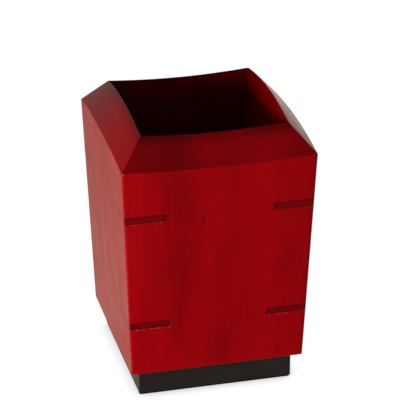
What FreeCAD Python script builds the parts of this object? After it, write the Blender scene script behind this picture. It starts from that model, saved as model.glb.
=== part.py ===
import FreeCAD, Part
import os

# A square wooden pen cup. Four leaning walls are mitred at the corners and keyed with thin
# splines. Each wall's rim is one bevel that climbs to a thin inner edge. The cup stands on a
# smaller black plinth with a felt pad under it. Millimetres; the origin is the middle of the
# underside of the felt, +Z is up and -Y is the front.

# Driving sizes: the cup.
rim_width = 82.5  # across the outer corners of the rim
foot_width = 74.8  # across the bottom corners of the walls
corner_height = 95.0  # from the bottom of the walls up to the outer corners of the rim
wall_thick = 10.75  # measured level, at the corners
face_bow = 0.25  # how far each outer face swells between its corners
rim_rise = 11.7  # from the outer corners of the rim up to its inner corners
side_crown = 3.1  # how far the rim of a side wall climbs towards its middle
end_dip = 1.4  # how far the rim of the front or back wall sinks towards its middle
corner_ease = 0.6  # rounding of the leaning corner edges
rim_ease = 0.4  # rounding of the rim and foot edges

# Driving sizes: the splines that key the mitres.
spline_thick = 3.1
spline_leg = 17.4  # what shows of a spline along each face, from the corner
upper_spline_drop = 21.7  # from the outer corners of the rim down to the middle of a spline
lower_spline_lift = 23.6  # from the bottom of the walls up to the middle of a spline

# Driving sizes: the floor, the plinth and what is under them.
floor_thick = 6.0
floor_rabbet = 4.0  # how far the floor reaches into each wall
plinth_inset = 4.0  # how far the plinth stands back from the bottom corners of the walls
plinth_thick = 11.5
plinth_ease = 0.3
felt_thick = 0.7
felt_inset = 0.2
felt_corner = 0.5
screw_size = 3.5
screw_bite = 4.0  # how far a screw reaches into the floor
screw_head = 7.0
screw_tip = 2.0  # height of the pointed end
screw_inset = 12.0  # from the edges of the plinth to the middle of a screw
recess_width = 0.9  # arms of the cross recess in a screw head
recess_span = 3.6
recess_depth = 1.1
fit_gap = 0.1  # all round the floor and the screws
spare = 4.0  # how far a cutting shape runs past what it cuts

# Heights and half widths that follow from the driving sizes.
plinth_bottom = felt_thick
wall_bottom = plinth_bottom + plinth_thick
rim_corner_z = wall_bottom + corner_height
rim_inner_z = rim_corner_z + rim_rise
highest = rim_inner_z + max(side_crown, 0.0)
rim_half = rim_width / 2
foot_half = foot_width / 2
plinth_half = foot_half - plinth_inset
foot_swell = face_bow * (1 - (foot_half / rim_half) ** 2)
lean = (rim_half - foot_half + foot_swell) / corner_height  # outward, per millimetre of height
inner_foot_half = rim_half - wall_thick - lean * corner_height
inner_rim_half = rim_half - wall_thick + lean * rim_rise
floor_half = inner_foot_half + floor_rabbet
upper_spline_z = rim_corner_z - upper_spline_drop
lower_spline_z = wall_bottom + lower_spline_lift

# Walls and corners in order round the cup, each a quarter turn on from the one before.
wall_names = ("front_wall", "right_wall", "back_wall", "left_wall")
corner_names = ("front_right", "back_right", "back_left", "front_left")
quarter_turn = 90  # degrees
spline_heights = {"upper": upper_spline_z, "lower": lower_spline_z}
screw_place = plinth_half - screw_inset
screw_places = [(x, y) for x in (-screw_place, screw_place) for y in (-screw_place, screw_place)]


def point(x, y, z):
    return FreeCAD.Vector(x, y, z)


def turned(shape, quarters):
    copy = shape.copy()
    copy.rotate(point(0, 0, 0), point(0, 0, 1), quarters * quarter_turn)
    return copy


def bent_edge(start, middle, end):
    # A shallow parabola from start to end that passes through middle half way along.
    control = middle * 2 - (start + end) * 0.5
    curve = Part.BezierCurve()
    curve.setPoles([start, control, end])
    return curve.toShape()


def square_block(half, bottom, top):
    return Part.makeBox(2 * half, 2 * half, top - bottom, point(-half, -half, bottom))


def wall_slab():
    # The front wall before its mitres and bevel: bowed outside, flat inside, leaning forward.
    reach = rim_half + spare
    set_back = lean * corner_height
    middle_y = set_back - rim_half - face_bow
    end_y = middle_y + face_bow * (reach / rim_half) ** 2
    outside = bent_edge(
        point(-reach, end_y, wall_bottom),
        point(0, middle_y, wall_bottom),
        point(reach, end_y, wall_bottom),
    )
    inside = Part.makePolygon([
        point(reach, end_y, wall_bottom),
        point(reach, -inner_foot_half, wall_bottom),
        point(-reach, -inner_foot_half, wall_bottom),
        point(-reach, end_y, wall_bottom),
    ])
    height = highest + spare - wall_bottom
    section = Part.Face(Part.Wire([outside] + inside.Edges))
    return section.extrude(point(0, -lean * height, height))


def mitre_wedge():
    # Everything between the two mitre planes of the front wall.
    reach = rim_width
    outline = Part.makePolygon([
        point(0, 0, 0),
        point(-reach, -reach, 0),
        point(reach, -reach, 0),
        point(0, 0, 0),
    ])
    return Part.Face(outline).extrude(point(0, 0, highest + 2 * spare))


def rim_cutter(middle_rise):
    # What the bevel takes off the front wall. Straight lines run from the inner edge of the rim
    # out and down to its outer edge; both edges are bent by middle_rise half way along.
    corner_slope = rim_rise / (rim_half - inner_rim_half)
    middle_slope = rim_rise / (rim_half + face_bow - inner_rim_half)
    overrun = 1.15  # the cut passes the mitres by this share of its length
    edges = []
    for half in (inner_rim_half - spare, rim_half + face_bow + spare):
        run = half - inner_rim_half
        middle_z = rim_inner_z + middle_rise - middle_slope * run
        fall = (middle_z - rim_inner_z + corner_slope * run) * overrun ** 2
        end_x = half * overrun
        edges.append(bent_edge(
            point(-end_x, -half, middle_z - fall),
            point(0, -half, middle_z),
            point(end_x, -half, middle_z - fall),
        ))
    bevel = Part.makeRuledSurface(edges[0], edges[1])
    return bevel.extrude(point(0, 0, rim_rise + 4 * spare + side_crown))


def plain_wall(middle_rise):
    return wall_slab().common(mitre_wedge()).cut(rim_cutter(middle_rise))


def corner_ring(vertex):
    # Names the ring of four corners that a corner of the tube lies on, or nothing.
    rings = {
        "foot": (foot_half, wall_bottom),
        "rim": (rim_half, rim_corner_z),
        "inner rim": (inner_rim_half, rim_inner_z),
    }
    place = point(abs(vertex.X), abs(vertex.Y), vertex.Z)
    for name, (half, z) in rings.items():
        if place.distanceToPoint(point(half, half, z)) < 3 * corner_ease:
            return name
    return ""


def edges_between(solid, ring_pairs):
    found = []
    for edge in solid.Edges:
        rings = sorted(corner_ring(vertex) for vertex in edge.Vertexes)
        if rings in ring_pairs:
            found.append(edge)
    return found


def make_tube():
    # The four walls as one tube, so that every edge is eased right across its joint.
    walls = []
    for quarters, name in enumerate(wall_names):
        middle_rise = -end_dip if name in ("front_wall", "back_wall") else side_crown
        walls.append(turned(plain_wall(middle_rise), quarters))
    tube = walls[0].multiFuse(walls[1:]).removeSplitter().Solids[0]
    outside = [["foot", "foot"], ["foot", "rim"], ["rim", "rim"], ["inner rim", "rim"]]
    tube = tube.makeFillet(corner_ease, edges_between(tube, outside))
    return tube.makeChamfer(rim_ease, edges_between(tube, [["inner rim", "inner rim"]]))


def face_at(x, z):
    # How far an outer face stands from the middle of the cup, x along it and z up it.
    return rim_half - lean * (rim_corner_z - z) + face_bow * (1 - (x / rim_half) ** 2)


def spline_plate(z):
    # A level slice across the front right corner, as deep as the saw cut for a spline.
    slope = (rim_half - foot_half) / corner_height
    leg_end = rim_half - slope * (rim_corner_z - z) - spline_leg
    depth_line = leg_end + face_at(leg_end, z)
    reach = rim_half + spare
    bottom = z - spline_thick / 2
    outline = Part.makePolygon([
        point(depth_line - reach, -reach, bottom),
        point(reach, -reach, bottom),
        point(reach, reach - depth_line, bottom),
        point(depth_line - reach, -reach, bottom),
    ])
    return Part.Face(outline).extrude(point(0, 0, spline_thick))


def screw_solid(gap):
    # A countersunk wood screw that points up, its head flush with the bottom of the plinth.
    shank = screw_size / 2 + gap
    head = screw_head / 2 + gap
    sink = head - shank
    tip_z = plinth_bottom + plinth_thick + screw_bite + gap
    profile = Part.makePolygon([
        point(0, 0, plinth_bottom),
        point(head, 0, plinth_bottom),
        point(shank, 0, plinth_bottom + sink),
        point(shank, 0, tip_z - screw_tip),
        point(0, 0, tip_z),
        point(0, 0, plinth_bottom),
    ])
    return Part.Face(profile).revolve(point(0, 0, 0), point(0, 0, 1), 360)


def cross_recess():
    arms = []
    for size_x, size_y in ((recess_span, recess_width), (recess_width, recess_span)):
        corner = point(-size_x / 2, -size_y / 2, plinth_bottom)
        arms.append(Part.makeBox(size_x, size_y, recess_depth, corner))
    return arms[0].fuse(arms[1])


def at_screws(shape):
    copies = []
    for x, y in screw_places:
        copy = shape.copy()
        copy.translate(point(x, y, 0))
        copies.append(copy)
    return copies


def make_walls_and_splines():
    tube = make_tube()
    plates = {}
    for quarters, corner in enumerate(corner_names):
        for level, z in spline_heights.items():
            plates[f"spline_{corner}_{level}"] = turned(spline_plate(z), quarters)
    rabbet = square_block(floor_half + fit_gap, wall_bottom, wall_bottom + floor_thick)
    pieces = {name: tube.common(plate) for name, plate in plates.items()}
    slotted = tube.cut(list(plates.values())).cut(rabbet)
    for quarters, name in enumerate(wall_names):
        pieces[name] = slotted.common(turned(mitre_wedge(), quarters))
    return pieces


def make_floor():
    floor = square_block(floor_half, wall_bottom, wall_bottom + floor_thick)
    return floor.cut(at_screws(screw_solid(fit_gap)))


def make_plinth():
    block = square_block(plinth_half, plinth_bottom, plinth_bottom + plinth_thick)
    eased = []
    for edge in block.Edges:
        middle = edge.CenterOfMass
        if middle.z < plinth_bottom + plinth_thick - plinth_ease:
            eased.append(edge)
    return block.makeFillet(plinth_ease, eased).cut(at_screws(screw_solid(fit_gap)))


def make_screws():
    return Part.Compound(at_screws(screw_solid(0).cut(cross_recess())))


def make_felt():
    pad = square_block(plinth_half - felt_inset, 0, felt_thick)
    upright = [edge for edge in pad.Edges if abs(edge.CenterOfMass.z - felt_thick / 2) < felt_thick / 4]
    return pad.makeFillet(felt_corner, upright)


def make_cup():
    pieces = make_walls_and_splines()
    pieces["floor_panel"] = make_floor()
    pieces["plinth"] = make_plinth()
    pieces["plinth_screws"] = make_screws()
    pieces["felt_pad"] = make_felt()
    return pieces


os.makedirs("parts", exist_ok=True)
for name, shape in make_cup().items():
    shape.exportStep(f"parts/{name}.step")
    print(name, len(shape.Solids), round(shape.Volume, 1))
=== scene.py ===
import math
import random
import bpy
import bmesh
from mathutils import Matrix, Vector, noise


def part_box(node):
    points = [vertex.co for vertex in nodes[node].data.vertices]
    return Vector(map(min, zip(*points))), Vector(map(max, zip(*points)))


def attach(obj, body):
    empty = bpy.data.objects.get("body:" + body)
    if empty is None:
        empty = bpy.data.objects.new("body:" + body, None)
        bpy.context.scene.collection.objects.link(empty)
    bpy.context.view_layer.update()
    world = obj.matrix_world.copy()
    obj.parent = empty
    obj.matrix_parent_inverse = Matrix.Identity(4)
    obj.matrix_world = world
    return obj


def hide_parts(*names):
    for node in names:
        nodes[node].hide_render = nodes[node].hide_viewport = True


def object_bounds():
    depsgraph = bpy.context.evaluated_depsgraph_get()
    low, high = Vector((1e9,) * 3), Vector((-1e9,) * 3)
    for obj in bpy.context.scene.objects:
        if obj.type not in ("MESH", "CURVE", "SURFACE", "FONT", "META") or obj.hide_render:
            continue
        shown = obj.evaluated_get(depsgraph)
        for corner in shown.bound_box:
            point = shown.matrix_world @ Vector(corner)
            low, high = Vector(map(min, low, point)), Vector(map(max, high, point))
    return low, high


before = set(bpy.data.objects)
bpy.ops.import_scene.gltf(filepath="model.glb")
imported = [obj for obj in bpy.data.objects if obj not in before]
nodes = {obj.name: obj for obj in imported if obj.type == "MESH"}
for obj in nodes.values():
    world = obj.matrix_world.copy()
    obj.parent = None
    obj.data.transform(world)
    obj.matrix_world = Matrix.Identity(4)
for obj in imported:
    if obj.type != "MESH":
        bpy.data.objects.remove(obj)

cadLow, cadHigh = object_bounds()
print("frame loaded:", len(nodes), "nodes")

mm = 0.001
wallNames = ["front_wall", "right_wall", "back_wall", "left_wall"]
cornerNames = ["front_right", "back_right", "back_left", "front_left"]
levelNames = ["upper", "lower"]


# short forms for shader nodes
def fillSockets(tree, node, values):
    # each value is a number, a colour or a socket to link from
    for socket, value in values.items():
        if isinstance(value, bpy.types.NodeSocket):
            tree.links.new(value, node.inputs[socket])
        else:
            node.inputs[socket].default_value = value


def addNode(tree, kind, values=None, **settings):
    made = tree.nodes.new("ShaderNode" + kind)
    for name, value in settings.items():
        setattr(made, name, value)
    fillSockets(tree, made, values or {})
    return made


def calc(tree, operation, first, second=0.0, clamp=False):
    made = addNode(tree, "Math", {0: first, 1: second}, operation=operation, use_clamp=clamp)
    return made.outputs[0]


def plus(tree, first, second, clamp=False):
    return calc(tree, "ADD", first, second, clamp)


def minus(tree, first, second):
    return calc(tree, "SUBTRACT", first, second)


def times(tree, first, second):
    return calc(tree, "MULTIPLY", first, second)


def larger(tree, first, second):
    return calc(tree, "MAXIMUM", first, second)


def unsigned(tree, value):
    return calc(tree, "ABSOLUTE", value)


def diagonal(tree, first, second):
    squares = plus(tree, times(tree, first, first), times(tree, second, second))
    return calc(tree, "SQRT", squares)


def ease(tree, value, start, end, low=0.0, high=1.0):
    # a smooth step from low at start to high at end
    values = {"Value": value, "From Min": start, "From Max": end, "To Min": low, "To Max": high}
    return addNode(tree, "MapRange", values, interpolation_type="SMOOTHSTEP").outputs["Result"]


def blend(tree, amount, first, second, how="MIX"):
    values = {0: amount}
    for socket, value in ((6, first), (7, second)):
        values[socket] = value if isinstance(value, bpy.types.NodeSocket) else (*value, 1.0)
    made = addNode(tree, "Mix", values, data_type="RGBA", blend_type=how, clamp_factor=True)
    return made.outputs[2]


def moved(tree, place, turn, shift=(0.0, 0.0, 0.0)):
    # the place turned about the upright axis and then shifted
    values = {"Vector": place, "Rotation": (0.0, 0.0, turn), "Location": shift}
    return addNode(tree, "Mapping", values).outputs[0]


def grain(tree, place, cell, detail=3.0, roughness=0.55):
    # noise whose cells have these lengths in millimetres along x, y and z
    scale = [1 / (length * mm) for length in cell]
    stretched = addNode(tree, "Mapping", {"Vector": place, "Scale": scale}).outputs[0]
    values = {"Vector": stretched, "Scale": 1.0, "Detail": detail, "Roughness": roughness}
    return addNode(tree, "TexNoise", values, noise_dimensions="3D").outputs["Fac"]


noiseLow, noiseHigh = 0.3, 0.7  # nearly all of a noise lies between these


def uneven(tree, noisy, least, most):
    # spreads a noise from least to most
    return ease(tree, noisy, noiseLow, noiseHigh, least, most)


def bump(tree, height, depth):
    values = {"Height": height, "Strength": 1.0, "Distance": depth}
    return addNode(tree, "Bump", values).outputs["Normal"]


def splitPlace(tree, place):
    parts = addNode(tree, "SeparateXYZ", {0: place})
    return parts.outputs[0], parts.outputs[1], parts.outputs[2]


def normalParts(tree):
    return splitPlace(tree, addNode(tree, "NewGeometry").outputs["Normal"])


def emptyTree(owner):
    owner.use_nodes = True
    owner.node_tree.nodes.clear()
    return owner.node_tree


def startMaterial(name):
    material = bpy.data.materials.new(name)
    tree = emptyTree(material)
    shader = addNode(tree, "BsdfPrincipled")
    addNode(tree, "OutputMaterial", {"Surface": shader.outputs[0]})
    place = addNode(tree, "TexCoord").outputs["Object"]
    return material, tree, shader, place


# measures of the cup that the finishes follow
cup = {
    "rimHalf": 41.25 * mm,  # middle of the cup to an outer corner of the rim
    "footHalf": 37.4 * mm,  # the same at the bottom of the walls
    "wallBottom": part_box("front_wall")[0].z,
    "rimCorner": 107.2 * mm,  # height of the outer corners of the rim
    "splineLeg": 17.4 * mm,  # what shows of a spline along each face, from the corner
}
splineBoxes = [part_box("spline_front_left_" + level) for level in levelNames]
spotCore = 0.25  # the share of a soft spot's reach that is at full strength
# how the finishes tell faces and edges apart by their normals; a pair is where a mask starts and ends
facing = {
    "bevel": (0.42, 0.60),  # upward part of the normal, on the rim bevel
    "corner": (0.08, 0.25),  # x times y, on the corners and hips
    "rise": (0.10, 0.28),  # upward part, on the eased edge between an upright face and the bevel
    "fall": (0.60, 0.42),
    "crest": (0.80, 0.90),  # upward part, on the eased inner edge of the rim
    "rimShare": 0.35,  # of the wear of a corner, along the edges of the rim
}


def outsideAt(tree, height):
    # how far out a corner of the walls stands at this height
    slope = (cup["rimHalf"] - cup["footHalf"]) / (cup["rimCorner"] - cup["wallBottom"])
    below = minus(tree, cup["rimCorner"], height)
    return minus(tree, cup["rimHalf"], times(tree, below, slope))


def softSpot(tree, across, height, spot):
    # the spot's strength in the middle of a soft upright oval and 0 outside it
    x, z, width, tall, strength = spot
    dx = times(tree, minus(tree, across, x * mm), 1 / (width * mm))
    dz = times(tree, minus(tree, height, z * mm), 1 / (tall * mm))
    return ease(tree, diagonal(tree, dx, dz), 1.0, spotCore, 0.0, strength)


def bevelMask(tree):
    # 1 on the rim bevel, which looks up and out, and 0 on the upright faces
    return ease(tree, normalParts(tree)[2], *facing["bevel"])


def edgeMask(tree):
    # 1 along the eased corners and hips, and less along the eased edges of the rim
    nx, ny, nz = normalParts(tree)
    corner = ease(tree, unsigned(tree, times(tree, nx, ny)), *facing["corner"])
    rise = ease(tree, nz, *facing["rise"])
    fall = ease(tree, nz, *facing["fall"])
    crest = ease(tree, nz, *facing["crest"])
    rim = times(tree, larger(tree, times(tree, rise, fall), crest), facing["rimShare"])
    return larger(tree, corner, rim)


# stained wall boards; a cell is how long a noise is across, through and up a board, in millimetres,
# and a range is where a change starts and ends, followed for some by its strength at each
wallWood = {
    "stain": (0.360, 0.0003, 0.0028),
    "deepStain": (0.190, 0.0001, 0.0012),
    "poreStain": (0.070, 0.0002, 0.0008),
    "nibColour": (0.50, 0.012, 0.018),  # dust caught in the lacquer
    "chipKnockAndGlintColour": (0.64, 0.080, 0.095),  # bare wood at the lip of a saw cut and at a knock, and the painted highlight at the front board's top left corner
    "glueColour": (0.085, 0.0003, 0.0010),
    # also the colour of the painted highlight along the left edge of each board
    "wornAndHighlightColour": (0.400, 0.007, 0.013),
    "driftCell": (9, 9, 34),
    "wobble": 8.8 * mm,  # how far the figure strays sideways
    "broadCell": (13, 13, 75),
    "broadRange": (0.30, 0.72, 0.08, 0.28),
    "streakCell": (1.5, 1.5, 55),
    "streak": 0.12,
    "fibreCell": (0.30, 0.30, 9),
    "fibre": 0.07,
    "fleckCell": (3.0 * mm, 26.0 * mm),
    "fleckSlant": 90.0,  # keeps the flecks of the outer and inner faces apart
    "fleckRange": (0.10, 0.03),
    "fleckChance": (0.78, 0.97, 0.0, 0.35),
    "outerRange": (-35 * mm, -37 * mm),  # depths; 1 on the outer face only
    "innerRange": (-31.6 * mm, -31.2 * mm),  # depths; 1 on the inner face only
    "underRimShadeRange": (110 * mm, 119 * mm),  # heights between which painted shade darkens the inside under the rim
    "rightDarkRange": (2.4 * mm, 0.5 * mm, 0.0, 0.5),  # darker along the right edge of a board
    "leftHighlightRange": (1.4 * mm, 0.2 * mm, 0.0, 0.50),  # painted highlight, lighter along its left edge
    "rubbedCell": (5, 5, 7),
    "rubbedRange": (0.40, 0.62, 0.10, 0.60),
    "bevelStainAndShade": (0.80, 0.60, 1.20),  # times the stain: the rim's end grain drank more of it, and it is darker too as painted shade, for it gets little light from above
    # painted shade on the rim and inside under it, and the colour of the rim's darker patches
    "shadeAndPatchColour": (0.095, 0.0003, 0.0014),
    "rimEdgeShadeRange": (-35.0 * mm, -31.5 * mm),  # depths; painted shade towards the thin inner edge of the rim
    "rimShade": 0.6,
    "glue": 0.85,
    "mitreRange": (0.16 * mm, 0.05 * mm),  # distances from the mitre
    "mitreFilmRange": (0.40, 0.60, 0.2, 0.7),
    "nibSize": (0.32, 0.60),
    "knockAndGlintSize": (0.50, 0.75),  # a knocked place on a corner, and the painted highlight at the front board's top left corner
    "filmCell": (6, 6, 18),
    "roughness": (0.26, 0.32),
    "rougher": 0.3,  # added on chips and nibs
    "specular": 0.05,
    "dimpleCell": (1.3, 1.3, 1.6),
    "fibreHeight": 0.15,
    "dimpleHeight": 0.4,
    "poreDepth": 1.5,
    "relief": 0.003 * mm,
}
# glue and splinters at the saw cuts; past means beyond the end of a spline, beside means away from
# its long edges, and under means below it
sawCut = {
    "smearCell": (1.4, 1.4, 0.8),
    "smearRange": (0.34, 0.62, 0.15, 1.0),
    "smearPast": (1.6 * mm, 0.0, 0.0, 0.5),
    "smearBeside": (0.4 * mm, -0.8 * mm),
    "seamPast": (0.5 * mm, 0.1 * mm),
    "seamBeside": 0.05 * mm,
    "seam": 0.7,
    "crumbCell": (1.0, 1.0, 0.6),
    "crumbRange": (0.50, 0.56),
    "lipTopUnder": (0.15 * mm, 0.28 * mm),
    "lipFootUnder": (0.60 * mm, 0.45 * mm),
    "lipPast": (0.4 * mm, -1.0 * mm),
    "endFromPast": (0.0, 0.1 * mm),
    "endToPast": (0.5 * mm, 0.3 * mm),
    "endBeside": (0.3 * mm, 0.0, 0.0, 0.28),
    "acrossRange": (-1 * mm, 1 * mm),  # from the chips of a board's left end to those of its right
}
# each board: where its figure is cut from; its soft spots, darker with a strength above 0 and lighter
# below it, some of them painted light and shade, and its pin flecks, as (across, height, half width, half
# height, strength) in millimetres; its nibs, and its knocks with one painted highlight, as (across,
# height); the spots of its rim, as (across, depth, ...); how bright it is inside the cup, where it is
# darkened as painted shade; how chipped its saw cuts are at its left and right ends; and how far the glue
# spread beside the splines
boards = [
    {
        "shift": (0.0, 0.0, 0.0),
        # mostly stain, but the lighter patches at its left end, (-29, 16) and (-37, 72), are painted
        # light, and the darker patch at its top right, (34, 98), is painted shade
        "spots": [
            (-17.0, 68, 13.0, 58, 0.38), (-18.0, 104, 14.0, 28, 0.32), (-17.0, 54, 7.5, 20, 0.10),
            (-19.0, 36, 5.5, 14, 0.14), (0.5, 21, 7.5, 20, 0.30), (28.5, 60, 8.0, 16, 0.18),
            (3.5, 66, 6.0, 17, 0.12), (-1.0, 48, 6.0, 14, 0.10), (-29, 16, 16, 24, -0.22),
            (-37, 72, 9.0, 64, -0.26), (12.3, 55, 1.4, 16, -0.14), (17, 20, 10.0, 14, -0.16),
            (34, 98, 18.0, 34, 0.14), (1, 99, 17.0, 24, 0.12), (-30, 62, 10.0, 26, 0.06),
        ],
        "pins": [
            (-7.2, 82.2, 0.7, 1.9, 0.65), (-10.5, 82.4, 0.7, 1.3, 0.35), (8.2, 73.3, 0.35, 2.8, 0.55),
            (-12.0, 68.3, 0.45, 3.2, 0.40), (6.3, 103.0, 0.9, 2.2, 0.25), (-14.8, 58.2, 1.3, 1.3, 0.28),
            (3.8, 67.6, 1.6, 1.3, 0.18), (11.4, 45.0, 0.5, 6.5, 0.35), (-0.8, 47.6, 0.4, 4.0, 0.25),
            (26.0, 17.0, 1.0, 3.5, 0.28), (24.4, 48.5, 0.4, 4.5, 0.25), (11.0, 63.5, 0.4, 2.4, 0.3),
        ],
        "nibs": [(0.8, 93.8), (6.1, 58.6), (6.4, 27.0), (-27.6, 31.8)],
        # this knock is a painted highlight, the glint on the rounded top of the front left corner
        "knocksAndGlint": [(-40.6, 106.7)],
        "rimSpots": [(-27, -38, 26, 40, 0.42), (38, -38, 9, 40, 0.40), (24, -31.8, 16, 4.5, 0.32)],
        "inside": 0.6,
        "chips": {"upper": (0.30, 0.0), "lower": (1.0, 0.30)},
        "bleed": 0.45 * mm,
    },
    {
        "shift": (0.31, 0.12, 0.07),
        "spots": [(14, 70, 10, 60, 0.28), (-9, 40, 8, 50, 0.24), (30, 96, 12, 26, 0.16)],
        "pins": [(6.0, 78.0, 0.4, 2.0, 0.5), (-15.0, 52.0, 0.4, 2.6, 0.4), (20.0, 34.0, 0.4, 1.4, 0.5)],
        "nibs": [(11.0, 84.0), (-20.0, 47.0)],
        "knocksAndGlint": [(37.6, 31.0)],
        "rimSpots": [(-20, -37, 16, 30, 0.35), (25, -39, 12, 30, 0.25)],
        "inside": 0.95,
        "chips": {"upper": (0.0, 0.5), "lower": (0.15, 0.0)},
        "bleed": 0.8 * mm,
    },
    {
        "shift": (0.57, 0.23, 0.19),
        "spots": [(-12, 76, 9, 54, 0.28), (18, 46, 11, 50, 0.24), (-30, 24, 14, 24, -0.18)],
        "pins": [(-3.0, 92.0, 0.4, 2.2, 0.5), (12.0, 61.0, 0.5, 1.3, 0.5), (-22.0, 40.0, 0.4, 3.0, 0.4)],
        "nibs": [(-6.0, 71.0), (22.0, 30.0), (3.0, 98.0)],
        "knocksAndGlint": [(-37.2, 16.0)],
        "rimSpots": [(-8, -38, 14, 30, 0.30), (33, -37, 12, 30, 0.35)],
        "inside": 0.4,
        "chips": {"upper": (0.0, 0.15), "lower": (0.6, 0.0)},
        "bleed": 0.45 * mm,
    },
    {
        "shift": (0.83, 0.05, 0.41),
        # the lighter band by its front corner, (36, 56), is a painted highlight along that edge
        "spots": [
            (-16, 60, 9, 50, 0.20), (10, 84, 7, 26, 0.15), (0, 60, 90, 140, 0.16),
            (24, 112, 24, 12, -0.22), (36, 56, 9, 60, -0.20),
        ],
        "pins": [(16.0, 90.0, 0.5, 1.6, 0.5), (4.0, 46.0, 0.5, 3.0, 0.5), (-6.0, 72.0, 0.4, 2.0, 0.4)],
        "nibs": [(-11.0, 62.0), (19.0, 33.0)],
        "knocksAndGlint": [(-38.9, 62.0)],
        "rimSpots": [(-30, -38, 34, 40, 0.55), (16, -38, 42, 60, 0.09)],
        "inside": 0.6,
        "chips": {"upper": (0.0, 0.1), "lower": (0.0, 0.5)},
        "bleed": 1.2 * mm,
    },
]


def boardPlace(tree, quarter, place):
    # where a point lies across, through and up its board, once that is turned round to the front
    v = wallWood
    turned = moved(tree, place, -quarter * math.pi / 2)
    figure = moved(tree, turned, 0.0, boards[quarter]["shift"])
    across, depth, height = splitPlace(tree, turned)
    drift = minus(tree, grain(tree, figure, v["driftCell"]), 0.5)
    return {
        "across": across,
        "depth": depth,
        "height": height,
        "figure": figure,
        "wavy": plus(tree, across, times(tree, drift, v["wobble"])),
        "outer": ease(tree, depth, *v["outerRange"]),
    }


def boardStain(tree, board, at, fibre):
    # broad bands, streaks, fibres, the board's own spots, some of them painted light and shade, and
    # darker along its right edge
    v = wallWood
    broad = grain(tree, at["figure"], v["broadCell"], detail=2.0)
    streak = grain(tree, at["figure"], v["streakCell"])
    amount = plus(tree, ease(tree, broad, *v["broadRange"]), uneven(tree, streak, 0.0, v["streak"]))
    amount = plus(tree, amount, uneven(tree, fibre, 0.0, v["fibre"]))
    for spot in board["spots"]:
        amount = plus(tree, amount, softSpot(tree, at["wavy"], at["height"], spot))
    fromRight = minus(tree, outsideAt(tree, at["height"]), at["across"])
    edgeDarkening = ease(tree, fromRight, *v["rightDarkRange"])
    return blend(tree, plus(tree, amount, edgeDarkening, clamp=True), v["stain"], v["deepStain"])


def boardPores(tree, board, at):
    # the board's own pin flecks on its outer face, and faint ones scattered over both faces
    v = wallWood
    pins = 0.0
    for pin in board["pins"]:
        pins = plus(tree, pins, softSpot(tree, at["across"], at["height"], pin), clamp=True)
    wide, tall = v["fleckCell"]
    sideways = plus(tree, times(tree, at["wavy"], 1 / wide), times(tree, at["depth"], v["fleckSlant"]))
    upward = times(tree, at["height"], 1 / tall)
    flat = addNode(tree, "CombineXYZ", {0: sideways, 1: upward}).outputs[0]
    cell = addNode(tree, "TexVoronoi", {"Vector": flat, "Scale": 1.0}, voronoi_dimensions="2D")
    chance = ease(tree, splitPlace(tree, cell.outputs["Color"])[0], *v["fleckChance"])
    fleck = times(tree, ease(tree, cell.outputs["Distance"], *v["fleckRange"]), chance)
    return larger(tree, times(tree, pins, at["outer"]), fleck)


def glueAndChips(tree, board, at):
    # glue that bled past the end of each spline, and the splintered lip of its saw cut
    v = sawCut
    mess = ease(tree, grain(tree, at["figure"], v["smearCell"], detail=2.0), *v["smearRange"])
    crumbs = ease(tree, grain(tree, at["figure"], v["crumbCell"], detail=2.0), *v["crumbRange"])
    fromEdge = minus(tree, outsideAt(tree, at["height"]), unsigned(tree, at["across"]))
    past = minus(tree, fromEdge, cup["splineLeg"])
    glue, chips = 0.0, 0.0
    for level, (low, high) in zip(levelNames, splineBoxes):
        middle, half = (low.z + high.z) / 2, (high.z - low.z) / 2
        beside = minus(tree, unsigned(tree, minus(tree, at["height"], middle)), half)
        under = minus(tree, low.z, at["height"])

        smear = times(tree, ease(tree, past, *v["smearPast"]), ease(tree, beside, *v["smearBeside"]))
        seam = ease(tree, beside, board["bleed"], v["seamBeside"], 0.0, v["seam"])
        seam = times(tree, ease(tree, past, *v["seamPast"]), seam)
        glue = larger(tree, glue, larger(tree, smear, seam))

        share = ease(tree, at["across"], *v["acrossRange"], *board["chips"][level])
        lip = times(tree, ease(tree, under, *v["lipTopUnder"]), ease(tree, under, *v["lipFootUnder"]))
        lip = times(tree, lip, ease(tree, past, *v["lipPast"]))
        end = times(tree, ease(tree, past, *v["endFromPast"]), ease(tree, past, *v["endToPast"]))
        end = times(tree, end, ease(tree, beside, *v["endBeside"]))
        end = times(tree, end, share)  # the share counts twice here, so only a bad end has this
        chips = larger(tree, chips, times(tree, larger(tree, lip, end), share))
    return times(tree, times(tree, glue, mess), at["outer"]), times(tree, chips, crumbs)


def spotsOfSize(tree, at, mask, places, size):
    # adds soft ovals of one size to the mask, and keeps what is on the outer face
    for x, z in places:
        mask = larger(tree, mask, softSpot(tree, at["across"], at["height"], (x, z, *size, 1.0)))
    return times(tree, mask, at["outer"])


def mitreLine(tree, at, film):
    # the thin uneven glue line where two boards meet
    v = wallWood
    offMitre = unsigned(tree, plus(tree, unsigned(tree, at["across"]), at["depth"]))
    line = ease(tree, offMitre, *v["mitreRange"])
    return times(tree, line, ease(tree, film, *v["mitreFilmRange"]))


def rimStainAndShade(tree, board, at, colour):
    # the rim is darker, partly from more stain and partly as painted shade; darker again in patches, and
    # with painted shade towards its thin inner edge
    v = wallWood
    darkerRim = blend(tree, 1.0, colour, v["bevelStainAndShade"], "MULTIPLY")
    shadeAndPatches = ease(tree, at["depth"], *v["rimEdgeShadeRange"], 0.0, v["rimShade"])
    for spot in board["rimSpots"]:
        shadeAndPatches = plus(tree, shadeAndPatches, softSpot(tree, at["wavy"], at["depth"], spot), clamp=True)
    darkerRim = blend(tree, shadeAndPatches, darkerRim, v["shadeAndPatchColour"])
    return blend(tree, bevelMask(tree), colour, darkerRim)


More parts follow.
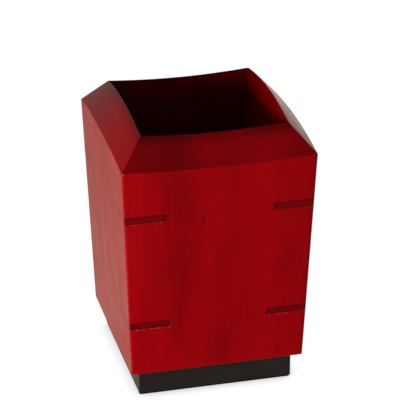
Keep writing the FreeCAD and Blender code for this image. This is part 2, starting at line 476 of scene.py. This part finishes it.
def insideStain(tree, board, at, colour):
    # painted shade: inside the cup a board is darker, and most so just under the rim
    v = wallWood
    shadedLining = blend(tree, 1.0, colour, (board["inside"],) * 3, "MULTIPLY")
    underRimShade = ease(tree, at["height"], *v["underRimShadeRange"], 0.0, v["rimShade"])
    shadedLining = blend(tree, underRimShade, shadedLining, v["shadeAndPatchColour"])
    return blend(tree, ease(tree, at["depth"], *v["innerRange"]), colour, shadedLining)


def highlightAndWornEdges(tree, at, colour):
    # a painted highlight along the left edge of a board, and wear on the eased edges, in patches
    v = wallWood
    fromLeft = plus(tree, outsideAt(tree, at["height"]), at["across"])
    leftHighlight = times(tree, ease(tree, fromLeft, *v["leftHighlightRange"]), at["outer"])
    colour = blend(tree, leftHighlight, colour, v["wornAndHighlightColour"])
    rubbed = ease(tree, grain(tree, at["figure"], v["rubbedCell"]), *v["rubbedRange"])
    return blend(tree, times(tree, edgeMask(tree), rubbed), colour, v["wornAndHighlightColour"])


def wallMaterial(quarter):
    v, board = wallWood, boards[quarter]
    material, tree, shader, place = startMaterial("stainedBoard" + str(quarter + 1))
    at = boardPlace(tree, quarter, place)
    film = grain(tree, at["figure"], v["filmCell"])
    fibre = grain(tree, at["figure"], v["fibreCell"], detail=2.0)
    dimple = grain(tree, at["figure"], v["dimpleCell"], detail=1.0)
    pores = boardPores(tree, board, at)
    glue, chips = glueAndChips(tree, board, at)
    # the knocks join the chips; the front board's one is a painted highlight
    chips = spotsOfSize(tree, at, chips, board["knocksAndGlint"], v["knockAndGlintSize"])
    nibs = spotsOfSize(tree, at, 0.0, board["nibs"], v["nibSize"])

    colour = boardStain(tree, board, at, fibre)
    colour = blend(tree, pores, colour, v["poreStain"])
    colour = blend(tree, times(tree, glue, v["glue"]), colour, v["glueColour"])
    colour = blend(tree, chips, colour, v["chipKnockAndGlintColour"])
    colour = blend(tree, nibs, colour, v["nibColour"])
    colour = blend(tree, mitreLine(tree, at, film), colour, v["glueColour"])
    colour = rimStainAndShade(tree, board, at, colour)
    colour = insideStain(tree, board, at, colour)
    colour = highlightAndWornEdges(tree, at, colour)

    rough = uneven(tree, film, *v["roughness"])
    rough = plus(tree, rough, times(tree, larger(tree, chips, nibs), v["rougher"]))
    relief = plus(tree, times(tree, fibre, v["fibreHeight"]), times(tree, dimple, v["dimpleHeight"]))
    relief = minus(tree, relief, times(tree, larger(tree, pores, chips), v["poreDepth"]))
    fillSockets(tree, shader, {
        "Base Color": colour,
        "Roughness": rough,
        "Specular IOR Level": v["specular"],
        "Normal": bump(tree, relief, v["relief"]),
    })
    return material


for quarter, name in enumerate(wallNames):
    nodes[name].material_slots[0].material = wallMaterial(quarter)
print("walls finished")


# splines across the corners; here a cell is along, through and up a spline
splineWood = {
    "stain": (0.195, 0.0006, 0.0034),
    "deepStain": (0.120, 0.0004, 0.0022),
    "sideSheenColour": (0.300, 0.0010, 0.0034),  # painted reflection: lighter on the side walls, as if their gloss showed the pale floor
    "glueColour": (0.060, 0.0003, 0.0012),
    "step": 0.043,  # how far apart the offcuts of the splines lie in the same board
    "fibreCell": (18, 0.40, 0.40),
    "fibre": 0.55,
    "cloudCell": (9, 3, 2),
    "cloudRange": (0.35, 0.65, 0.0, 0.45),
    "rimReach": 0.45 * mm,  # how far in from its long edges a spline is gluey
    "tipReach": 2.2 * mm,  # and from its ends
    "glue": 0.8,
    "raggedCell": (1.1, 1.1, 0.5),
    "raggedRange": (0.35, 0.6, 0.25, 1.0),
    "sideRange": (0.5, 0.9),  # sideways part of the normal, on the side walls
    "sideSheenRange": (0.25, 1.0, 0.85, 0.6),
    "roughness": (0.26, 0.36),
    "specular": 0.05,
    "relief": 0.005 * mm,
}


def splineMaterial(corner, level):
    v = splineWood
    quarter, cut = cornerNames.index(corner), levelNames.index(level)
    low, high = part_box("spline_" + corner + "_" + level)
    middle, half = (low.z + high.z) / 2, (high.z - low.z) / 2
    material, tree, shader, place = startMaterial("splineWood_" + corner + "_" + level)
    turned = moved(tree, place, -quarter * math.pi / 2)
    shift = ((2 * quarter + cut) * v["step"], quarter * v["step"], cut * v["step"])
    along = moved(tree, turned, -math.pi / 4, shift)
    x, y, height = splitPlace(tree, turned)
    twice = times(tree, outsideAt(tree, height), 2.0)
    leg = plus(tree, minus(tree, twice, x), y)  # how far from the corner, along its faces

    fibre = grain(tree, along, v["fibreCell"])
    cloud = grain(tree, along, v["cloudCell"], detail=2.0)
    amount = plus(tree, uneven(tree, fibre, 0.0, v["fibre"]), ease(tree, cloud, *v["cloudRange"]))
    colour = blend(tree, amount, v["stain"], v["deepStain"])
    fromMiddle = unsigned(tree, minus(tree, height, middle))
    rim = ease(tree, fromMiddle, half - v["rimReach"], half, 0.0, v["glue"])
    tip = ease(tree, leg, cup["splineLeg"] - v["tipReach"], cup["splineLeg"], 0.0, v["glue"])
    ragged = ease(tree, grain(tree, along, v["raggedCell"], detail=2.0), *v["raggedRange"])
    gluey = times(tree, larger(tree, rim, tip), ragged)
    colour = blend(tree, gluey, colour, v["glueColour"])
    sideways = ease(tree, unsigned(tree, normalParts(tree)[0]), *v["sideRange"])
    sideSheen = times(tree, sideways, ease(tree, ragged, *v["sideSheenRange"]))
    fillSockets(tree, shader, {
        "Base Color": blend(tree, sideSheen, colour, v["sideSheenColour"]),
        "Roughness": uneven(tree, fibre, *v["roughness"]),
        "Specular IOR Level": v["specular"],
        "Normal": bump(tree, fibre, v["relief"]),
    })
    return material


for corner in cornerNames:
    for level in levelNames:
        nodes["spline_" + corner + "_" + level].material_slots[0].material = splineMaterial(corner, level)
print("splines finished")


# black plinth
plinthWood = {
    "black": (0.0105, 0.0058, 0.0060),
    "rubbed": (0.022, 0.016, 0.016),
    "dust": (0.060, 0.052, 0.048),
    "fibreCell": (34, 0.8, 0.8),
    "fibreRange": (0.40, 0.75, 0.0, 0.22),
    "cloudCell": (14, 9, 5),
    "cloudRange": (0.40, 0.70, 0.0, 0.30),
    "speckCell": (0.5, 0.5, 0.5),
    "speckRange": (0.74, 0.80, 0.0, 0.5),
    "wornRange": (0.35, 0.6, 0.1, 0.7),
    "roughness": (0.34, 0.50),
    "specular": 0.16,
    "paintCell": (0.9, 0.9, 0.9),
    "fibreHeight": 0.7,
    "paintHeight": 0.5,
    "relief": 0.012 * mm,
}


def plinthMaterial():
    v = plinthWood
    material, tree, shader, place = startMaterial("blackPlinth")
    fibre = grain(tree, place, v["fibreCell"])
    cloud = grain(tree, place, v["cloudCell"])
    specks = grain(tree, place, v["speckCell"], detail=1.0)
    paint = grain(tree, place, v["paintCell"], detail=2.0)
    amount = plus(tree, ease(tree, fibre, *v["fibreRange"]), ease(tree, cloud, *v["cloudRange"]))
    colour = blend(tree, amount, v["black"], v["rubbed"])
    colour = blend(tree, ease(tree, specks, *v["speckRange"]), colour, v["dust"])
    worn = times(tree, edgeMask(tree), ease(tree, cloud, *v["wornRange"]))
    relief = plus(tree, times(tree, fibre, v["fibreHeight"]), times(tree, paint, v["paintHeight"]))
    fillSockets(tree, shader, {
        "Base Color": blend(tree, worn, colour, v["rubbed"]),
        "Roughness": uneven(tree, cloud, *v["roughness"]),
        "Specular IOR Level": v["specular"],
        "Normal": bump(tree, relief, v["relief"]),
    })
    return material


nodes["plinth"].material_slots[0].material = plinthMaterial()
print("plinth finished")


# floor of the cup
floorWood = {
    "stain": (0.150, 0.0012, 0.0030),
    "deepStain": (0.060, 0.0006, 0.0014),
    "fibreCell": (26, 0.6, 0.6),
    "fibre": 0.5,
    "sweepCell": (16, 5, 5),
    "sweep": 0.5,
    "nearWallRange": (22 * mm, 27 * mm, 0.0, 0.45),  # darker along the walls
    "roughness": (0.42, 0.60),
    "specular": 0.12,
    "relief": 0.020 * mm,
}


def floorMaterial():
    v = floorWood
    material, tree, shader, place = startMaterial("stainedFloor")
    x, y = splitPlace(tree, place)[:2]
    fibre = grain(tree, place, v["fibreCell"])
    sweep = grain(tree, place, v["sweepCell"], detail=2.0)
    amount = plus(tree, uneven(tree, fibre, 0.0, v["fibre"]), uneven(tree, sweep, 0.0, v["sweep"]))
    edgeDarkening = ease(tree, larger(tree, unsigned(tree, x), unsigned(tree, y)), *v["nearWallRange"])
    amount = plus(tree, amount, edgeDarkening, clamp=True)
    fillSockets(tree, shader, {
        "Base Color": blend(tree, amount, v["stain"], v["deepStain"]),
        "Roughness": uneven(tree, sweep, *v["roughness"]),
        "Specular IOR Level": v["specular"],
        "Normal": bump(tree, fibre, v["relief"]),
    })
    return material


nodes["floor_panel"].material_slots[0].material = floorMaterial()
print("floor finished")


# steel screws
screwSteel = {
    "bright": (0.62, 0.60, 0.57),
    "dull": (0.38, 0.36, 0.34),
    "hazeCell": (0.8, 0.8, 0.8),
    "hazeRange": (0.35, 0.7),
    "roughness": (0.26, 0.46),
    "headHalf": 3.5 * mm,
    "turning": 0.12 * mm,  # pitch of the turning marks on a head
    "relief": 0.004 * mm,
}


def screwMaterial():
    v = screwSteel
    material, tree, shader, place = startMaterial("zincScrew")
    low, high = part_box("plinth_screws")
    screwPlace = (high.x - low.x) / 2 - v["headHalf"]  # middle of the cup to a screw, along x and y
    x, y = splitPlace(tree, place)[:2]
    dx = minus(tree, unsigned(tree, x), screwPlace)
    dy = minus(tree, unsigned(tree, y), screwPlace)
    rings = calc(tree, "SINE", times(tree, diagonal(tree, dx, dy), 2 * math.pi / v["turning"]))
    haze = grain(tree, place, v["hazeCell"])
    fillSockets(tree, shader, {
        "Base Color": blend(tree, ease(tree, haze, *v["hazeRange"]), v["bright"], v["dull"]),
        "Metallic": 1.0,
        "Roughness": uneven(tree, haze, *v["roughness"]),
        "Normal": bump(tree, rings, v["relief"]),
    })
    return material


nodes["plinth_screws"].material_slots[0].material = screwMaterial()
print("screws finished")


# felt under the plinth
feltPad = {
    "cells": 84,
    "cornerRadius": 0.5 * mm,
    "lipRadius": 0.15 * mm,
    "lipSegments": 3,
    "lipAngle": 1.0,  # radians; both rims and the four upright corners turn more than this
    "fuzz": 0.07 * mm,
    "fuzzCell": 0.9 * mm,
    "fuzzContrast": 1.4,
    "stray": 0.25,  # how far single fibres are off, as a share of the fuzz
    "fray": 0.10 * mm,
    "frayFrom": 0.985,  # of the way from the middle to the edge
    "frayScale": 0.6,
    "frayShift": (7.0, 3.0, 1.0),
    "seed": 11,
    # black felt, darkened further as painted shade in the narrow gap along the bottom of the plinth
    "woolAndGapShade": (0.0024, 0.0023, 0.0025),
    "paleWoolAndGapShade": (0.0085, 0.0080, 0.0085),
    "woolRange": (0.50, 0.74),
    "mattedCell": (0.9, 0.35, 0.5),
    "crossedCell": (0.30, 1.1, 0.5),
    "tangleDetail": 4.0,
    "tangleRoughness": 0.7,
    "roughness": 0.95,
    "specular": 0.04,
    "sheen": 0.02,
    "sheenRoughness": 0.6,
    "relief": 0.10 * mm,
}


def feltMaterial():
    v = feltPad
    material, tree, shader, place = startMaterial("blackFeltAndGapShade")
    matted = grain(tree, place, v["mattedCell"], v["tangleDetail"], v["tangleRoughness"])
    crossed = grain(tree, place, v["crossedCell"], v["tangleDetail"], v["tangleRoughness"])
    tangle = larger(tree, matted, crossed)
    fillSockets(tree, shader, {
        "Base Color": blend(tree, ease(tree, tangle, *v["woolRange"]), v["woolAndGapShade"], v["paleWoolAndGapShade"]),
        "Roughness": v["roughness"],
        "Specular IOR Level": v["specular"],
        "Sheen Weight": v["sheen"],
        "Sheen Roughness": v["sheenRoughness"],
        "Normal": bump(tree, tangle, v["relief"]),
    })
    return material


def roundCorners(pad, half):
    # pulls the corners of the square grid in to a round plan
    hub = half - feltPad["cornerRadius"]
    for vert in pad.verts:
        dx, dy = abs(vert.co.x) - hub, abs(vert.co.y) - hub
        if dx > 0 and dy > 0:
            pull = max(dx, dy) / math.hypot(dx, dy)
            vert.co.x = math.copysign(hub + dx * pull, vert.co.x)
            vert.co.y = math.copysign(hub + dy * pull, vert.co.y)


def fuzzAndFray(pad, half, thick):
    # an uneven underside, and an edge that the shears left slightly ragged
    v = feltPad
    random.seed(v["seed"])
    for vert in pad.verts:
        spot = vert.co / v["fuzzCell"]
        nap = 0.5 + 0.5 * noise.noise(spot) * v["fuzzContrast"]
        nap = min(1.0, max(0.0, nap + random.uniform(-v["stray"], v["stray"])))
        if vert.co.z < thick / 2:
            vert.co.z += v["fuzz"] * nap
        edge = max(abs(vert.co.x), abs(vert.co.y)) / half
        if edge > v["frayFrom"]:
            ragged = noise.noise(spot * v["frayScale"] + Vector(v["frayShift"]))
            inset = v["fray"] * (0.5 + 0.5 * ragged)
            vert.co.x *= 1 - inset / half
            vert.co.y *= 1 - inset / half


def makeFelt():
    v = feltPad
    low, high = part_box("felt_pad")
    half = high.x
    thick = high.z - low.z
    mesh = bpy.data.meshes.new("feltPad")
    pad = bmesh.new()
    bmesh.ops.create_grid(pad, x_segments=v["cells"], y_segments=v["cells"], size=half)
    roundCorners(pad, half)
    raised = bmesh.ops.extrude_face_region(pad, geom=pad.faces[:])
    top = [part for part in raised["geom"] if isinstance(part, bmesh.types.BMVert)]
    bmesh.ops.translate(pad, verts=top, vec=(0.0, 0.0, thick))
    bmesh.ops.recalc_face_normals(pad, faces=pad.faces)
    shared = [edge for edge in pad.edges if len(edge.link_faces) == 2]
    lip = [edge for edge in shared if edge.calc_face_angle() > v["lipAngle"]]
    bmesh.ops.bevel(
        pad, geom=lip, offset=v["lipRadius"], affect="EDGES", segments=v["lipSegments"],
        profile=0.5, material=-1,
    )
    fuzzAndFray(pad, half, thick)
    pad.to_mesh(mesh)
    pad.free()
    for face in mesh.polygons:
        face.use_smooth = True
    felt = bpy.data.objects.new("felt_sheet", mesh)
    bpy.context.scene.collection.objects.link(felt)
    mesh.transform(Matrix.Translation((0.0, 0.0, low.z)))
    mesh.materials.append(feltMaterial())
    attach(felt, "root")
    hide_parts("felt_pad")


makeFelt()
print("felt made")


# studio
cameraSpot = {
    "azimuth": -14.202,
    "elevation": 24.943,
    "distance": 0.9866,
    "target": (0.0072, 0.0218, 0.0620),
    "lens": 201.92,
    "sensor": 36.0,
    "clip": (0.05, 50.0),
}
lamps = {
    "strip": {"azimuth": -58.0, "elevation": 5.0, "distance": 1.1, "size": (0.70, 0.22), "power": 14.2},
    "front": {"azimuth": -8.0, "elevation": 7.0, "distance": 1.3, "size": (0.50, 0.25), "power": 1.6},
    "fill": {"azimuth": 128.0, "elevation": 24.0, "distance": 1.3, "size": (0.60, 0.60), "power": 4.0},
}
backdrop = {
    "white": (1.0, 1.0, 1.0),
    "ambient": 0.11,
    "inGloss": 0.55,  # brightness of the world in the gloss
    "inView": 1.0,  # and to the camera
    "floorSize": 6.0,
    "floorColour": 0.80,
    "floorInView": 0.40,  # the share of the floor's own light and shade that the camera sees
    "floorLift": 0.935,
    "contactReach": 7.5 * mm,
    "contactSamples": 16,
    "contactShade": 0.58,
    "leftShade": 0.55,  # the share of it on the side that the strip lamp lights
    "leftRange": (-45 * mm, -25 * mm),
    "glossNear": 0.45,  # what the gloss mirrors of the floor near the cup and far from it
    "glossFar": 0.23,
    "glossReach": (60.0 * mm, 290.0 * mm),
    "glossBehind": 0.66,  # more of it behind the cup on its right
    "behindRange": (200 * mm, 400 * mm),
    "glossAhead": 0.05,  # the share of it that is left in front of the cup
    "aheadRange": (-80 * mm, -45 * mm),
    "floorTint": (1.0, 0.96, 0.72),  # of what shines back from the gloss
}


def placeAround(thing, target, v):
    # puts a camera or a lamp at its angles and distance from the target, facing it
    turn, lift = math.radians(v["azimuth"]), math.radians(v["elevation"])
    level = math.cos(lift)
    away = v["distance"] * Vector((math.sin(turn) * level, -math.cos(turn) * level, math.sin(lift)))
    thing.location = target + away
    thing.rotation_mode = "QUATERNION"
    thing.rotation_quaternion = (-away).to_track_quat("-Z", "Y")
    bpy.context.scene.collection.objects.link(thing)


def addCamera():
    v = cameraSpot
    data = bpy.data.cameras.new("camera")
    data.lens = v["lens"]
    data.sensor_width = v["sensor"]
    data.clip_start, data.clip_end = v["clip"]
    camera = bpy.data.objects.new("camera", data)
    placeAround(camera, Vector(v["target"]), v)
    bpy.context.scene.camera = camera


def addLamps():
    middle = Vector((0.0, 0.0, (cadLow.z + cadHigh.z) / 2))
    for name, v in lamps.items():
        data = bpy.data.lights.new(name, "AREA")
        data.shape = "RECTANGLE"
        data.size, data.size_y = v["size"]
        data.energy = v["power"]
        placeAround(bpy.data.objects.new(name, data), middle, v)


def shineRay(tree, ray):
    return larger(tree, ray.outputs["Is Glossy Ray"], ray.outputs["Is Transmission Ray"])


def chooseByRay(tree, ray, plain, gloss, view):
    # one value for plain light, one for what shines back from the gloss and one for the camera
    values = {"Value": shineRay(tree, ray), "To Min": plain, "To Max": gloss}
    unseen = addNode(tree, "MapRange", values).outputs["Result"]
    values = {"Value": ray.outputs["Is Camera Ray"], "To Min": unseen, "To Max": view}
    return addNode(tree, "MapRange", values).outputs["Result"]


def addWorld():
    v = backdrop
    world = bpy.data.worlds.new("studio")
    bpy.context.scene.world = world
    tree = emptyTree(world)
    ray = addNode(tree, "LightPath")
    seen = chooseByRay(tree, ray, v["ambient"], v["inGloss"], v["inView"])
    light = addNode(tree, "Background", {"Color": (*v["white"], 1.0), "Strength": seen})
    addNode(tree, "OutputWorld", {"Surface": light.outputs[0]})


def floorToCamera(tree, floorX):
    # an even bright floor with a faint shade close to the cup, fainter still on its left
    v = backdrop
    near = addNode(tree, "AmbientOcclusion", {"Distance": v["contactReach"]}, samples=v["contactSamples"])
    leftShade = v["contactShade"] * v["leftShade"]
    shaded = ease(tree, floorX, *v["leftRange"], leftShade, v["contactShade"])
    darkest = minus(tree, v["floorLift"], shaded)
    return ease(tree, near.outputs["AO"], 0.0, 1.0, darkest, v["floorLift"])


def floorToGloss(tree, place, floorX, floorY):
    # dimmer with distance, nearly none in front of the cup and more behind it on the right
    v = backdrop
    distance = addNode(tree, "VectorMath", {0: place}, operation="LENGTH").outputs["Value"]
    shone = ease(tree, distance, *v["glossReach"], v["glossNear"], v["glossFar"])
    shone = times(tree, shone, ease(tree, floorY, *v["aheadRange"], v["glossAhead"], 1.0))
    behind = ease(tree, plus(tree, floorX, floorY), *v["behindRange"], 0.0, v["glossBehind"])
    return plus(tree, shone, behind)


def paperMaterial():
    v = backdrop
    material = bpy.data.materials.new("paperFloor")
    tree = emptyTree(material)
    ray = addNode(tree, "LightPath")
    place = addNode(tree, "TexCoord").outputs["Object"]
    floorX, floorY = splitPlace(tree, place)[:2]
    shade = v["floorColour"]
    shown = chooseByRay(tree, ray, shade, shade, shade * v["floorInView"])
    paper = addNode(tree, "BsdfDiffuse", {"Color": shown})
    shone, seen = floorToGloss(tree, place, floorX, floorY), floorToCamera(tree, floorX)
    lift = chooseByRay(tree, ray, 0.0, shone, seen)
    tint = blend(tree, shineRay(tree, ray), v["white"], v["floorTint"])
    glow = addNode(tree, "Emission", {"Color": tint, "Strength": lift})
    both = addNode(tree, "AddShader", {0: paper.outputs[0], 1: glow.outputs[0]})
    addNode(tree, "OutputMaterial", {"Surface": both.outputs[0]})
    return material


def addFloor():
    mesh = bpy.data.meshes.new("studioFloor")
    plan = bmesh.new()
    bmesh.ops.create_grid(plan, x_segments=1, y_segments=1, size=backdrop["floorSize"] / 2)
    plan.to_mesh(mesh)
    plan.free()
    mesh.materials.append(paperMaterial())
    floor = bpy.data.objects.new("studioFloor", mesh)
    bpy.context.scene.collection.objects.link(floor)


addCamera()
addLamps()
addWorld()
addFloor()
bpy.context.scene.view_settings.view_transform = "Standard"
print("studio set")
